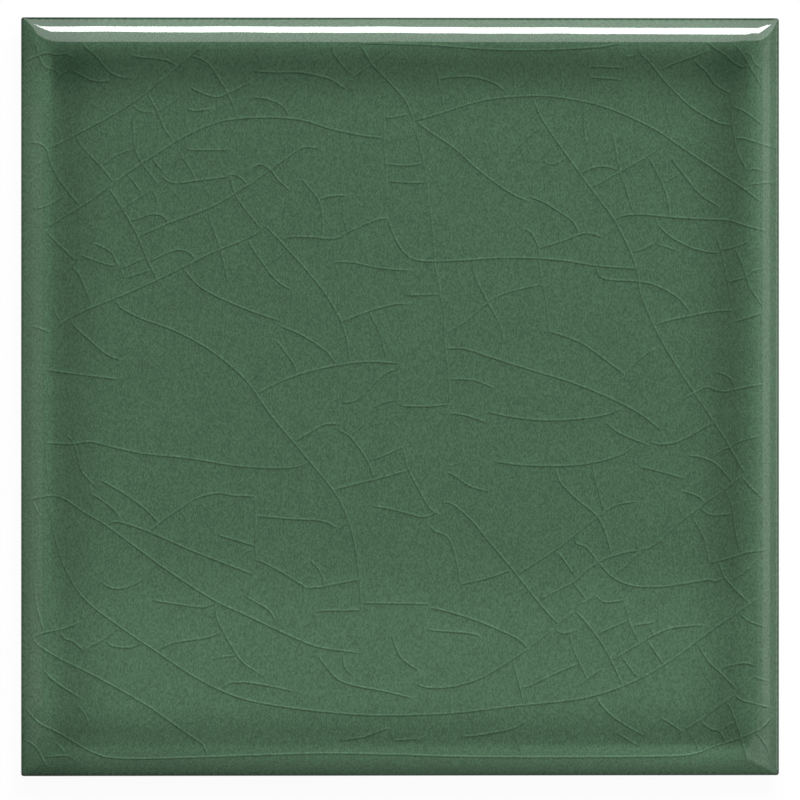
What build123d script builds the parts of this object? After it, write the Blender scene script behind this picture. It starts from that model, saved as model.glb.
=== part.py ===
from build123d import *
import math
import os

# Plain square wall tile with a cushion-edged, glazed face and a keyed back.
# One pressed and fired piece, 148 mm square. It lies on its back with the face up,
# and the origin is at the middle of the back. Lengths are in millimetres.

# Outline of the tile
SIDE = 148.0  # finished width, which makes a 150 mm module with its joint
THICKNESS = 8.0  # from the back to the flat field of the face
CORNER_RADIUS = 0.5  # plan radius of the upright corners at the outline

# Cushion edge: an arc that leaves the flat field and falls away to the outline
CUSHION_WIDTH = 5.5  # from the outline to the start of the flat field
CUSHION_DROP = 2.0  # from the flat field down to the outline
CORNER_SOFTNESS = 0.85  # plan corner radius gained for each millimetre of inset
CUSHION_STEPS = 6  # sections of the loft, after the one at the outline
ARRIS_RADIUS = 0.35  # rounding between the cushion and the upright edge

# Upright edge: it leans in towards the back, so that tiles meet at the face first
LEAN_WIDTH = 0.8
LEAN_HEIGHT = 2.5

# Key of the back: rows of shallow pockets that the bedding grips
KEY_COUNT = 6  # pockets in a row
KEY_BORDER = 5.0  # plain margin around the pockets
KEY_RIB = 3.0  # flat rib left between two pockets
KEY_DEPTH = 0.7
KEY_CORNER_RADIUS = 1.6
KEY_DRAFT = 30.0  # lean of the pocket walls, in degrees

# Sizes that follow
CUSHION_RADIUS = (CUSHION_WIDTH**2 + CUSHION_DROP**2) / (2 * CUSHION_DROP)
EDGE_TILT = math.asin(CUSHION_WIDTH / CUSHION_RADIUS)
EDGE_HEIGHT = THICKNESS - CUSHION_DROP
BACK_SIDE = SIDE - 2 * LEAN_WIDTH
KEY_POCKET = (BACK_SIDE - 2 * KEY_BORDER - (KEY_COUNT - 1) * KEY_RIB) / KEY_COUNT
KEY_PITCH = KEY_POCKET + KEY_RIB


def rounded_square(side, radius, height):
    """A square with rounded corners, centred on the Z axis at the given height."""
    return Pos(0, 0, height) * RectangleRounded(side, side, radius)


def cushion_section(tilt):
    """The level line of the cushion where its surface leans by the given angle."""
    inset = CUSHION_WIDTH - CUSHION_RADIUS * math.sin(tilt)
    height = THICKNESS - CUSHION_RADIUS * (1 - math.cos(tilt))
    return rounded_square(SIDE - 2 * inset, CORNER_RADIUS + CORNER_SOFTNESS * inset, height)


def cushion():
    """The part of the tile above its outline, lofted from the edge to the flat field."""
    tilts = [EDGE_TILT * (1 - step / CUSHION_STEPS) for step in range(CUSHION_STEPS + 1)]
    return loft([cushion_section(tilt) for tilt in tilts])


def edge_slab():
    """The part below the outline: the lean at the back and the upright edge above it."""
    back_outline = rounded_square(BACK_SIDE, CORNER_RADIUS, 0)
    full_outline = rounded_square(SIDE, CORNER_RADIUS, LEAN_HEIGHT)
    lean = loft([back_outline, full_outline], ruled=True)
    upright = extrude(full_outline, EDGE_HEIGHT - LEAN_HEIGHT)
    return lean + upright


def key_pockets():
    """The drafted pockets that are pressed into the back."""
    mouth = RectangleRounded(KEY_POCKET, KEY_POCKET, KEY_CORNER_RADIUS)
    pocket = extrude(mouth, KEY_DEPTH, taper=KEY_DRAFT)
    return [place * pocket for place in GridLocations(KEY_PITCH, KEY_PITCH, KEY_COUNT, KEY_COUNT)]


def tile():
    """The whole tile as one solid."""
    body = edge_slab() + cushion()
    outline_edges = body.edges().filter_by(lambda e: abs(e.center().Z - EDGE_HEIGHT) < 1e-6)
    body = fillet(outline_edges, ARRIS_RADIUS)
    return body - key_pockets()


os.makedirs("parts", exist_ok=True)
export_step(tile(), "parts/tile.step")
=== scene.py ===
import math

import bpy
import numpy as np
from mathutils import Matrix, Vector
from mathutils.geometry import delaunay_2d_cdt
from mathutils.kdtree import KDTree


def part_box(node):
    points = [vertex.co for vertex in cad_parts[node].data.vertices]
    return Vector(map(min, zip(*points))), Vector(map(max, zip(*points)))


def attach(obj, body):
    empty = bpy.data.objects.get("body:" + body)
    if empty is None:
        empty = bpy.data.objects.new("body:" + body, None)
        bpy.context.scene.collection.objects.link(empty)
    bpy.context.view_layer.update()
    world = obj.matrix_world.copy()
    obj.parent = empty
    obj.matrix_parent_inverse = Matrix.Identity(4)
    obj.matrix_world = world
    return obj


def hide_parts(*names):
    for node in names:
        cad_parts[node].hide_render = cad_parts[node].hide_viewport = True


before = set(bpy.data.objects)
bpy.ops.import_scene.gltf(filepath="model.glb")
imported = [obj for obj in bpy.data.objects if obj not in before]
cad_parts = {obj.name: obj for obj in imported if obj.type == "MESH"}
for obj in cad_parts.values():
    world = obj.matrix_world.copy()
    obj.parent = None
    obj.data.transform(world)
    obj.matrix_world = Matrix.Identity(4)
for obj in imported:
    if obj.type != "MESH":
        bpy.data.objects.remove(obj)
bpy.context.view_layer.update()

# A craze-glazed wall tile that lies face up under a strip lamp, seen from straight above.
# Sizes are in millimetres until the mesh is made, apart from the floor, the lamps and the camera.
MM = 0.001

# Tile body
tile_low, tile_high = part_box("tile")
SIDE = (tile_high.x - tile_low.x) / MM
THICKNESS = (tile_high.z - tile_low.z) / MM
HALF = SIDE / 2
CORNER_RADIUS = 0.5
CUSHION_WIDTH = 5.5
CUSHION_DROP = 2.0
CORNER_SOFTNESS = 0.85  # corner radius gained for each millimetre of inset
ARRIS_RADIUS = 0.35
LEAN_WIDTH = 0.8
LEAN_HEIGHT = 2.5
KEY_COUNT = 6
KEY_BORDER = 5.0
KEY_RIB = 3.0
KEY_DEPTH = 0.7
KEY_CORNER_RADIUS = 1.6
KEY_DRAFT = 30.0

# Glaze
CRAZE_HALF_WIDTH = 0.36  # from the crest of a craze line to its foot
CRAZE_HEIGHT = 0.16  # of the boldest lines; the field is sunk by this much
CRAZE_END = 0.9  # length over which a line dies away at its ends
CRAZE_END_SHARE = 0.25  # of its strength that is left at its very end
CRAZE_STEP = 0.6  # between the points along a line
CREST_STEP = 0.1  # between the points that the height of a line is measured from
PLAIN_STRENGTH = 0.85
FAINT_STRENGTH = 0.6
# Along each side the glaze pools: how deep, how far in, and how fast it thins to the side and to the middle
POOLS = {
    "top": (0.47, 8.8, 3.3, 6.0),
    "left": (0.27, 9.2, 3.2, 5.2),
    "bottom": (0.42, 7.6, 2.4, 4.2),
    "right": (0.36, 9.2, 3.0, 5.6),
}
CORNER_DARKENING = {(-1, 1): 0.23, (1, 1): 0.15, (-1, -1): 0.17, (1, -1): 0.12}  # darker towards the corners
CORNER_DARK_INSET = 10.5
CORNER_DARK_REACH = 7.0
CORNER_RIM_SHADE = 1.4  # share of that darkening on the cushion, where it is painted shade
CORNER_RIM_START = 8.0  # full up to here from a corner
CORNER_RIM_END = 15.0
CLOUD_DEPTH = 0.09  # a broad patch of deeper glaze
CLOUD_PLACE = (-45.0, 42.0)
CLOUD_REACH = 40.0
# How much thinner and lighter the glaze is on the cushion: partly thinner glaze and partly painted light,
# most on the sides the lamps leave dim;
# how much that painted light grows to the right or upper end of a side, and the painted shade that darkens
# it again towards the edge
RIM_THIN_AND_LIGHT = {"top": 0.16, "left": 0.27, "bottom": 0.44, "right": 0.15}
RIM_LIGHT_LEAN = {"top": 0.0, "left": 0.06, "bottom": 0.3, "right": 0.06}
EDGE_SHADE = {"top": 0.26, "left": 0.06, "bottom": 0.14, "right": 0.2}
EDGE_WIDTH = 2.4
THIN_START = 6.8  # how far from a side the glaze starts to thin and the painted light starts
THIN_END = 4.8
SHARE_GAP = 0.5  # added to the distance from each side, by which the four sides share a place
SHARE_POWER = 4  # how fast a side's share falls with that distance
LIP_SHADE = 1.0  # painted shade: how much darker the glaze is at the very edge
LIP_WIDTH = 0.4
PALER_BELOW = -45.0  # the face is paler below this line
FULL_ABOVE = -28.0  # and at its full depth above this one
BASE_DEPTH = 0.22
CREST_THIN = 0.04  # how much thinner the glaze is over the crest of a craze line
GLAZE_LINE = 3.1  # mean height of the lower limit of the glaze on the edges
GLAZE_WAVER = 0.35
GLAZE_WAVES = ((0.5, 9, 0), (0.3, 23, 1), (0.2, 57, 2))  # each a share, waves around the tile and a phase

# Mesh
SIDE_STEPS = 96
CORNER_STEPS = 8
CUSHION_ROWS = 16
CUSHION_CROWDING = 1.3  # above 1, the rows lie closer together towards the outline
FIELD_STEP = 2.5
FIELD_MARGIN = 1.0  # from the cushion to the grid of the field
ARRIS_ROWS = 5
CRAZE_ROWS = (-1, -0.5, 0, 0.5, 1)  # across a craze line, in half widths
CRAZE_MARGIN = 0.15  # left free of other points beside a craze line
RIM_MARGIN = 0.3  # left free of craze lines beside the arris
MERGE_DISTANCE = 1e-4
SLOPE_GAP = 0.02  # between a place and those that its slope is measured from
SHARP_ANGLE = 15.0  # in degrees, from which an edge between two faces looks sharp
GLAZE_SLOT = 0
BODY_SLOT = 1

# Materials
THIN_COLOUR = (0.0745, 0.1508, 0.0864, 1)
DEEP_COLOUR = (0.0223, 0.0519, 0.0270, 1)
GRAIN_STRETCH = (1, 0.55, 1)
COAT_ROUGHNESS = 0.022
COAT_IOR = 1.75
CLAY_DARK = (0.50, 0.41, 0.31, 1)
CLAY_PALE = (0.66, 0.58, 0.47, 1)
FLOOR_COLOUR = (0.9, 0.9, 0.9, 1)
FLOOR_GLOW = 0.95  # share of the floor's white that stays in the tile's shadow
WHITE = (1, 1, 1, 1)
WORLD_STRENGTH = 0.1

# Floor, in metres
FLOOR_SIZE = 24.0
FLOOR_HEIGHT = -0.0001  # just clear of the back of the tile

# Lamps, in metres and degrees. A zenith is measured from straight up, as the tile sees it.
STRIP_HEIGHT = 3.0
STRIP_PLACE = (0.154, 0.911)  # of its middle, in heights of the strip from the middle of the top rim
STRIP_SPANS = (0.4585, 0.895)  # in heights of the strip
STRIP_TURN = 47.0
STRIP_RADIANCE = 13.0
CARD_DISTANCE = 2.9
STRIP_CARD_LEAN = 45
STRIP_CARD_TURN = -8
STRIP_CARD_RADIANCE = 1.55
STRIP_CARD_LOW = 12.6
STRIP_CARD_HIGH = 76
STRIP_CARD_SIDES = (-4.4, 55)
END_CARDS = 8  # narrow cards that round off the left end of the strip card
END_CARD_WIDTH = 1.8
END_CARD_RISE = 1.48
# Other cards: name, lean, zeniths, side angles, turn and radiance
CARDS = [
    ("rake", 80, (75, 86), (-15, 15), 40, 8.0),
    ("right_soft", 45, (20, 34.8), (-30, 30), 90, 0.22),
    ("right_card", 45, (34.8, 55), (-30, 4.3), 90, 0.42),
    ("right_middle", 46, (34.8, 55), (-4.15, 4.0), 90, 0.33),
    ("right_low", 44, (10, 55), (7, 50), 90, 0.31),
    ("right_edge", 64, (55, 72), (-30, 30), 90, 0.25),
    ("right_wall", 75, (73.5, 79.3), (-30, 30), 90, 1.05),
    ("left_card", 45, (21, 50.5), (-3.98, 3.9), -90, 0.1),
    ("left_fill", 48, (21, 75), (-4.15, 4.15), -90, 0.1),
]

# Camera, in metres
FRAME_WIDTH = 156.16 * MM  # what the picture spans at the outline of the tile
AIM_X = -0.107 * MM
AIM_Y = -0.644 * MM
CAMERA_TURN = math.radians(1.3)
LENS = 300.0  # this and the sensor in millimetres, as a camera has them
SENSOR = 36.0
VIEW_END = 20.0

# Sizes that follow
CUSHION_RADIUS = (CUSHION_WIDTH**2 + CUSHION_DROP**2) / (2 * CUSHION_DROP)
EDGE_TILT = math.asin(CUSHION_WIDTH / CUSHION_RADIUS)
EDGE_HEIGHT = THICKNESS - CUSHION_DROP
BACK_SIDE = SIDE - 2 * LEAN_WIDTH
KEY_POCKET = (BACK_SIDE - 2 * KEY_BORDER - (KEY_COUNT - 1) * KEY_RIB) / KEY_COUNT
KEY_PITCH = KEY_POCKET + KEY_RIB

# Craze lines, each as the points that it runs through, from the middle of the face
BOLD_LINES = [
    [(-68.8, 48.2), (-63.3, 51), (-54.7, 55.7), (-49.4, 59.4), (-44, 63.9), (-38.2, 68.8)],
    [(-72.3, 49.5), (-70.2, 49.2), (-68.9, 48.1), (-68.4, 46.2), (-66.6, 42.4), (-62.4, 37)],
    [(-68.4, 33.2), (-65.3, 35.2), (-59.7, 38.7), (-53.6, 43.3), (-47.1, 47.6), (-41.3, 51.1),
     (-35, 53.6), (-27.5, 54.4), (-19.8, 54), (-14, 52.3), (-8, 51), (-3.4, 50.4)],
    [(-61.9, 69.2), (-61.4, 68), (-59.5, 66.5), (-57, 63.5), (-55, 62.4), (-53, 62)],
    [(-64.4, 63.7), (-62.6, 62.8), (-60.4, 61.7), (-58.6, 61.4), (-56.7, 61.6)],
    [(-73.4, 65.2), (-71.7, 66.1), (-68.8, 66.9), (-67.1, 66.6), (-65.2, 66.7), (-63.7, 66)],
    [(-52.3, 66.5), (-50.7, 66.1), (-48.2, 65.9), (-45.6, 65.5), (-43.6, 64.4)],
    [(-41, 66.5), (-38.9, 65.8), (-37.2, 64.6), (-35.4, 61.9), (-33.8, 59.2), (-32.5, 56.3)],
    [(-37, 64.6), (-35.2, 66.2)],
    [(-41.1, 60.4), (-39.1, 59.3), (-36.1, 58.4), (-33.9, 59), (-29.4, 61.2)],
    [(-41.8, 56.1), (-40, 55.7), (-36.9, 56.1)],
    [(-42, 48.6), (-40.5, 48.1), (-33.4, 48.1)],
    [(-46.6, 43.3), (-45.6, 42.1), (-43.4, 41.6), (-39.8, 42.1), (-33.4, 42.9)],
    [(-51.2, 31.1), (-45.3, 33.8), (-37.5, 36.7), (-32.5, 39.5), (-27.1, 43.1), (-22.7, 46.2),
     (-19.8, 48.2), (-18, 48.7), (-16.2, 48.3)],
    [(-33.4, 43.3), (-32, 43.1), (-30.7, 42.2), (-30, 41.3)],
    [(-29.8, 43.6), (-28.3, 44.9), (-27.1, 45.2), (-25.4, 44.2), (-23.8, 42.2), (-21.3, 39.9)],
    [(-16, 38.4), (-14.4, 38.9), (-12.2, 39.2), (-10.6, 39.2)],
    [(-28.7, 63.5), (-24.9, 63.2), (-19.8, 63.2), (-15.9, 62.5), (-13.3, 61.7), (-11, 60.1)],
    [(-29.2, 58.3), (-27.1, 58.2), (-24.5, 57.5), (-22.7, 56.3), (-22, 55)],
    [(-7.9, 68.6), (-5.7, 65), (-3.2, 62.3), (0.1, 58.8), (1.4, 56.8), (2.5, 53.8)],
    [(-3.2, 54.3), (-1.4, 54.5), (1.5, 55.1)],
    [(-4.8, 56.7), (-3.4, 57.1)],
    [(-2.8, 45.3), (1.2, 45.1), (4.5, 45.5)],
    [(-2.7, 42), (2.3, 41.7), (5.2, 41.8)],
    [(2.7, 53.8), (8.5, 55.5), (15.4, 57.6), (22, 58.5), (28.7, 58.6), (36, 57.5), (42.2, 55.6),
     (49.5, 52.2), (55.3, 48.3), (62.5, 43.5), (67.5, 40.2), (70, 38.2)],
    [(3.4, 53.5), (5.2, 52), (8.5, 49.8), (11, 48), (15.4, 44), (21.1, 39.9), (24.9, 38.1)],
    [(25.1, 39), (28, 37.9), (31.6, 35.6), (33.6, 34.1), (34.8, 31.8)],
    [(7.4, 61.9), (9.9, 62.3), (13.2, 62.4), (15.4, 62.1), (18.3, 61.1), (20.4, 59.5)],
    [(25.9, 57.9), (27.7, 53.9), (33.3, 45.8), (38.3, 39), (41.5, 34.7), (44.8, 28.3), (46.2, 24),
     (46.9, 19.8), (50, 12.6), (54.9, 4.3), (60, -3.2), (63.6, -8.8), (67, -14.8)],
    [(35.3, 43.6), (37.2, 44.6), (39.3, 44.9), (41.1, 44.7), (42.6, 44)],
    [(52.7, 46.7), (54.7, 44), (58.1, 39.8), (60.3, 38.2), (62.3, 37)],
    [(46.6, 68.8), (46.8, 67), (48.6, 65.2), (52, 61), (56.3, 56.8), (60.3, 54.3), (62.5, 53.3),
     (64.5, 53)],
    [(36.8, 64.4), (43.5, 64.2)],
    [(36.8, 62.3), (40.1, 62.1), (43.1, 61.8)],
    [(50.5, 63.3), (51.6, 64.2), (53.8, 65.2), (56.7, 66.2), (60, 67.5)],
    [(57, 65.9), (58.1, 64.8), (60, 63), (61, 61.4), (62.3, 60.3), (64.8, 59)],
    [(60, 69.3), (61, 68.2), (63.2, 66.8), (65, 65.2), (66.5, 64.4), (67.4, 64.4)],
    [(65, 68.9), (66.8, 66.8), (67.9, 64.8), (70.6, 60.3)],
    [(64.5, 56.5), (65.7, 56.3), (67.5, 55.4), (70.4, 53.2)],
    [(65, 50.5), (66.8, 50.4), (68.3, 50), (71.2, 49.1), (73.2, 48.5)],
    [(67.7, 44.1), (69, 44.5), (70.8, 44)],
    [(-8, 68.9), (2, 68.7), (8, 68.4), (16, 67.8), (22, 67.6), (30, 67.7), (38.6, 68.2), (43, 69)],
    [(-69.1, 32.3), (-67.5, 30.5), (-65.2, 28.3), (-63.3, 26.5)],
    [(-62.4, 27.6), (-60.1, 26.7), (-58.3, 26.1), (-56.5, 25.6), (-55, 25.9)],
    [(-60.1, 30), (-58.3, 29.2), (-56.3, 28.1), (-55.6, 26.5), (-54.8, 25.2)],
    [(-54.7, 25), (-52.9, 25.6), (-49.8, 27.2)],
    [(-54.6, 24.8), (-53.8, 23.1)],
    [(-53.8, 23.1), (-52.1, 23.6), (-48.7, 24.7)],
    [(-68.2, 12.4), (-65.2, 14.9), (-60.1, 17.4), (-52.9, 20.3), (-44.9, 24), (-37.3, 27.8),
     (-30, 30.8), (-27.6, 32.3)],
    [(-56.7, 40.4), (-54.7, 37.4), (-52.7, 33.9), (-51, 30.7), (-49.2, 26.3), (-47.4, 22.7)],
    [(-52.7, 34.3), (-51, 34.7), (-49.2, 35.4), (-47.4, 35.5), (-46.2, 35), (-45.3, 33.8)],
    [(-48.9, 26.4), (-44.9, 28.2), (-43, 28.6), (-41.3, 28.1), (-39.8, 26.5)],
    [(-42.4, 25.1), (-39.8, 22), (-36.2, 19.7), (-30, 17), (-23.4, 14.7)],
    [(-55.5, 18.9), (-54.5, 17.3), (-50.7, 15.3), (-44.9, 13.2), (-39.8, 10.7), (-35, 7.5), (-30, 3),
     (-25.3, -3.6), (-19.3, -10.8), (-13.1, -18.4), (-10.6, -23.1), (-9, -28.7), (-8.1, -35),
     (-7.7, -41.6)],
    [(-64.2, 14.9), (-63.5, 13.7), (-60.1, 10.6), (-58.3, 9), (-56.5, 7.8), (-54.5, 7.2)],
    [(-68.8, 5.2), (-62.3, 4.3), (-55.1, 3.4)],
    [(-26.5, 33.4), (-23.3, 30.1), (-18, 24.2), (-14.2, 19.3), (-11.7, 14.8), (-10.5, 11), (-9.9, 6.9)],
    [(-23.2, 30.3), (-21.8, 31.1), (-17.3, 31.1), (-13, 30.8), (-10.1, 32.2), (-5, 34.4), (-2.5, 34.8)],
    [(-2.5, 34.8), (-1.5, 31.8), (0, 28.9), (2, 26.9)],
    [(-13.1, 26.3), (-9, 26.1), (-4.3, 25.1), (1.7, 24.6)],
    [(-29.8, 30.5), (-28.7, 28.5), (-27.1, 26.3), (-25.3, 23.8), (-23.4, 22), (-21.5, 20.9)],
    [(-23.6, 13.9), (-19.5, 12.1), (-15.9, 9.9), (-14, 8.3), (-12.8, 6.5)],
    [(-28, 0.7), (-22.4, 3.4), (-15.9, 5.4), (-9.3, 6.6), (-5, 6.8), (-0.5, 6.5)],
    [(-11.7, 14.6), (-7.5, 16.2), (-5, 17.1), (-2.5, 17.7), (-0.7, 18.1), (1, 18)],
    [(-11.5, -1.1), (-9.7, -1), (-7.9, -0.1), (-4.3, 3.4), (-2.5, 4.8), (-0.7, 5.4)],
    [(2, 26.9), (5.2, 26.4), (12, 26.6), (21, 27.1), (30.5, 26.7), (38.6, 25.5), (46.2, 25)],
    [(1.1, 19.8), (2.7, 19.8), (7.6, 20)],
    [(23.9, 32.8), (25.3, 32.1), (26.2, 30.7), (26.8, 29.2)],
    [(26.9, 28.9), (31.6, 30.4), (35, 31.7), (37.2, 31.8), (39.3, 31.1)],
    [(8.8, 9.4), (12.5, 9.3), (17.9, 7.6), (25.1, 5.3), (32.4, 3.1), (37.9, 1), (44, -1.8),
     (47.5, -3.9), (50.6, -6.4)],
    [(9.5, 3.4), (12.5, 3.4), (15, 3), (18.1, 1.7)],
    [(28.7, 12.8), (33.4, 11.3), (37.2, 9.2), (43.7, 4.3)],
    [(0, -1.8), (4.9, -1.9), (9.4, -1.5)],
    [(41.5, 34.5), (44, 35.4), (47.7, 35.5), (53.1, 35), (60.3, 34.6), (64, 34.4), (67.9, 33.2),
     (71, 32.5)],
    [(50, 33.6), (52.7, 31.2), (56.7, 29.1), (60.3, 28.2), (62.1, 28.2)],
    [(62.3, 28.6), (65, 29.2), (67.5, 30.2), (69.8, 32.3)],
    [(45.3, 28.2), (47.3, 28.8), (49.6, 30.1)],
    [(37.9, 25.6), (38.9, 23.5), (41, 22.8), (46.2, 22.5), (49.5, 21.8), (53.1, 20), (55, 18.4),
     (56.5, 16.4)],
    [(49.8, 14), (52, 14.8), (56.7, 15.8), (61, 16.6), (64.9, 16.9)],
    [(63.9, 22.3), (67.2, 23.4), (68.6, 24.4), (70.4, 25)],
    [(65.2, 29.1), (66.6, 26), (67.4, 23.5), (68.3, 21.1), (70.6, 17.7)],
    [(65, 14.7), (67.5, 15.3), (70.6, 16.4)],
    [(61.2, 5), (63.2, 4.3), (64.5, 3.4), (65.2, 1.9)],
    [(54.7, -1.1), (55.6, -0.1), (57.8, 1), (59.8, 1.9), (61.8, 1.2), (63.9, 1.1), (67, 1.8), (71, 2.5)],
    [(-69.1, -9), (-64.1, -9.2), (-60.4, -8.8), (-55.7, -9.9), (-50, -11.1), (-41.3, -12),
     (-31.8, -13.5), (-24.5, -13.9), (-20.5, -13.7), (-18.2, -12.8)],
    [(-58.6, -16.2), (-54.3, -18.6), (-50, -21.7), (-47.1, -24.6)],
    [(-60.1, -18.9), (-58.3, -20.1), (-56.5, -21.5), (-55, -23), (-54.8, -24.4)],
    [(-72, -19.9), (-68, -19.3), (-65.5, -19.9), (-61.5, -22.6), (-57.2, -25.2), (-50, -30.5),
     (-44.9, -34.2), (-36.5, -39.6), (-30.3, -42.5), (-21.6, -46.6), (-15.9, -48.8), (-8.3, -49.9)],
    [(-57, -24.9), (-55.5, -24.3), (-52.1, -25.2), (-47.4, -27), (-41.6, -29.6), (-36.1, -31.8),
     (-29.1, -34.5)],
    [(-48.7, -26), (-44.9, -23), (-42.7, -21.7), (-40.5, -20.1), (-37.3, -19), (-34.7, -18.8),
     (-32.9, -19.2), (-28.5, -19.4)],
    [(-68, -22), (-67.9, -24.8), (-66.9, -29), (-65.2, -33.8), (-61.5, -39.5), (-55, -44.6),
     (-47.4, -49.8), (-39.8, -54.8), (-33.2, -58), (-27.1, -59.7), (-15.9, -61.3), (-4.3, -62.1),
     (9.9, -61.7), (21.1, -60.4), (35.6, -58.8), (45.8, -55.4), (53.8, -50.7), (61, -45.3),
     (66.1, -41.9), (69.7, -39.3)],
    [(-58.1, -36.2), (-56.8, -37.1), (-54.7, -37.4), (-52.9, -36.9), (-50.7, -35.8), (-47.6, -32.5)],
    [(-20.6, -8.7), (-16.6, -6.3), (-14.8, -5.4), (-11.9, -5.3)],
    [(-12.1, -6.5), (-10.4, -7.4), (-9, -8.8), (-6.6, -12.3), (-5.2, -15.9)],
    [(-5.7, -12.3), (-3.6, -11.6), (0.4, -9.8)],
    [(-13.1, -18.3), (-11.5, -17.7), (-4.6, -16), (1.5, -14.3)],
    [(-5.5, -21.3), (-2, -21.9), (2, -22.9), (3.6, -23.4), (5.2, -23.3), (6.8, -22.5)],
    [(-28.2, -23.2), (-21.6, -23.8), (-15.5, -24.2), (-12.4, -25.5)],
    [(-35.5, -27), (-33.6, -27.5), (-28.3, -29.1)],
    [(-28.3, -31.8), (-26.5, -32.4), (-22.7, -34.5), (-18.4, -37.2)],
    [(-18.4, -37.2), (-15.9, -37.1), (-11.2, -36.2), (-7.9, -35.6)],
    [(9.8, -3.2), (12.5, -3.6), (16.3, -4.8)],
    [(17, -3), (22.6, -4.1), (28.7, -4.6), (35, -4.3), (40, -3.5), (42.8, -2.4)],
    [(18.1, -12.6), (23.3, -13.3), (29.8, -13.5), (36.3, -13.1), (42.2, -11.6), (44.9, -10.1)],
    [(8.3, -20.5), (10.3, -21.1), (13.9, -24.2), (17.5, -28.6), (21.9, -33.8), (25.5, -38.4),
     (28.7, -42.2), (30.8, -44.3)],
    [(23.9, -38.4), (25.3, -37.5)],
    [(9, -14.7), (10.5, -15.4), (12.1, -16.6), (13.9, -17.6), (17.2, -18.5)],
    [(11.7, -36.6), (16.8, -35.4), (21.5, -33.8)],
    [(23, -34.5), (27.7, -31.5), (32.7, -28), (37.1, -24.4), (40.4, -22), (42.5, -21), (45.9, -20.4)],
    [(30.2, -13.6), (31.1, -16.6), (34.5, -20.1), (37.8, -22.8), (39.7, -25.8), (41.1, -30.9)],
    [(30.5, -30.2), (31.6, -31.6), (34.2, -35.1)],
    [(34, -26.9), (34.3, -28.6), (36, -29.2), (37.4, -30.8), (38.4, -32.2)],
    [(27.3, -39.7), (28.7, -38.7), (33.6, -36.2), (36.7, -33.5), (40.4, -31.4), (44.4, -30.3),
     (46.6, -30)],
    [(33.6, -36.2), (34.9, -37.9), (36.3, -39.7)],
    [(40.2, -5.1), (41.5, -6.3), (43.3, -7.4), (48.6, -9.6)],
    [(48.7, -8.8), (50.6, -9.3), (52.7, -9.1), (54.9, -8.4), (60.9, -5.1)],
    [(47.1, -13.7), (52, -15), (55.1, -15.9)],
    [(56.3, -11.5), (58.1, -11.7), (60, -12.3), (61.8, -13.4), (64.8, -16.7)],
    [(60.8, -11.9), (62.5, -10.5), (64.3, -9.8), (66.5, -8.6), (70, -7.7)],
    [(53.8, -25.1), (58.9, -21.1), (63.2, -18.1), (66.5, -15.4)],
    [(66.5, -15.4), (67.9, -17.2), (70.6, -19.9)],
    [(54.7, -18.3), (56.3, -18.8), (58.1, -19.5), (59.4, -20.8)],
    [(58.9, -22.1), (60, -22.9), (61.8, -23.1), (64.7, -22.8)],
    [(60.5, -32.4), (64.7, -31.3), (67.2, -30.5), (71.2, -29.9)],
    [(62.1, -32.2), (63, -34.9), (64.7, -37), (68.1, -40.4)],
    [(38.4, -32.2), (41.5, -35.3), (45.5, -36.9), (51.6, -37), (57.4, -36.1), (60, -35.7),
     (61.5, -36), (63, -35.3)],
    [(-48, -39.7), (-44.9, -40.2), (-40.2, -40.9), (-38, -40.9), (-35.5, -39.9)],
    [(-47.8, -49.6), (-46, -48.6), (-43.5, -47.8), (-37.7, -46.9), (-34.7, -45.7)],
    [(-62.1, -43.7), (-65.5, -45.1), (-69.5, -46), (-71.7, -46.9)],
    [(-66.2, -45.5), (-65.7, -46.9), (-63.7, -47.8), (-61.7, -49.5)],
    [(-61.5, -49.5), (-60.1, -48.4), (-57.9, -47.3), (-55, -44.8)],
    [(-57.4, -47.7), (-56.1, -48.6), (-54.3, -48.8), (-52.5, -48.8), (-50.7, -48)],
    [(-71.8, -46.6), (-70.6, -48.4), (-66.6, -50.9), (-59, -54.7), (-50, -59.8), (-45.3, -63),
     (-40.6, -66.3), (-38.7, -67.6), (-37.8, -69.6)],
    [(-69.5, -53.4), (-68, -54.9), (-66.2, -56.3), (-62.6, -58.6)],
    [(-73.5, -60.3), (-70.6, -63.4), (-66.2, -65.7), (-60.1, -69.2), (-55.4, -70.4), (-44.9, -70.4),
     (-27, -69.8), (-13.7, -69.5), (0, -69.8), (13, -70.2), (35, -70.3), (49.5, -70.2),
     (56.7, -69.8), (61, -68.3), (66.8, -66.4), (70.4, -64.7), (72.2, -63), (73.3, -61.9)],
    [(-73.4, -66.9), (-71.7, -67.7), (-70.4, -69.2), (-69.9, -70.3), (-68.9, -71.9)],
    [(-69.1, -70.1), (-65.2, -69.9), (-64.1, -70.3)],
    [(-30.3, -38.8), (-28.2, -40.1), (-26.3, -41.1), (-25.1, -42.4), (-24.4, -43.9)],
    [(-34.5, -56.7), (-33.4, -55.8), (-29.6, -55.7), (-24.5, -56.6), (-20.9, -57.4)],
    [(-16, -50.6), (-14.4, -52.8), (-12.2, -55.1), (-9, -56.3), (-2.8, -57.5), (2, -58.7)],
    [(-1.8, -46.3), (-0.7, -49.5), (0.5, -51.3), (3.4, -53.3)],
    [(-16.8, -41.9), (-15.1, -41.7), (-7.7, -41.6)],
    [(-7.5, -40.2), (5.4, -40.4)],
    [(-11.5, -66.9), (-9, -66.6), (-6.8, -66.2), (-3.2, -64.8), (-1.9, -64.7)],
    [(-1.8, -64.8), (-1.6, -66.9)],
    [(-1.6, -66.9), (0.2, -66.9), (3.6, -66.6)],
    [(5.1, -45.2), (6.7, -45.6), (12.5, -46), (15.4, -46.6)],
    [(5.6, -41.1), (8.1, -41.6), (13.2, -43.1), (18.3, -45.1), (22.6, -47.1), (24.8, -49)],
    [(25.3, -48.8), (26.9, -47.5), (29.8, -45.3)],
    [(3.4, -56.2), (5.4, -56.7), (9.6, -56.6), (15, -55.1), (19.7, -52.5), (25.3, -48.9)],
    [(12, -66.2), (14.3, -66.1), (19.7, -65.2), (22.5, -64.4), (24.9, -62.9)],
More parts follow.
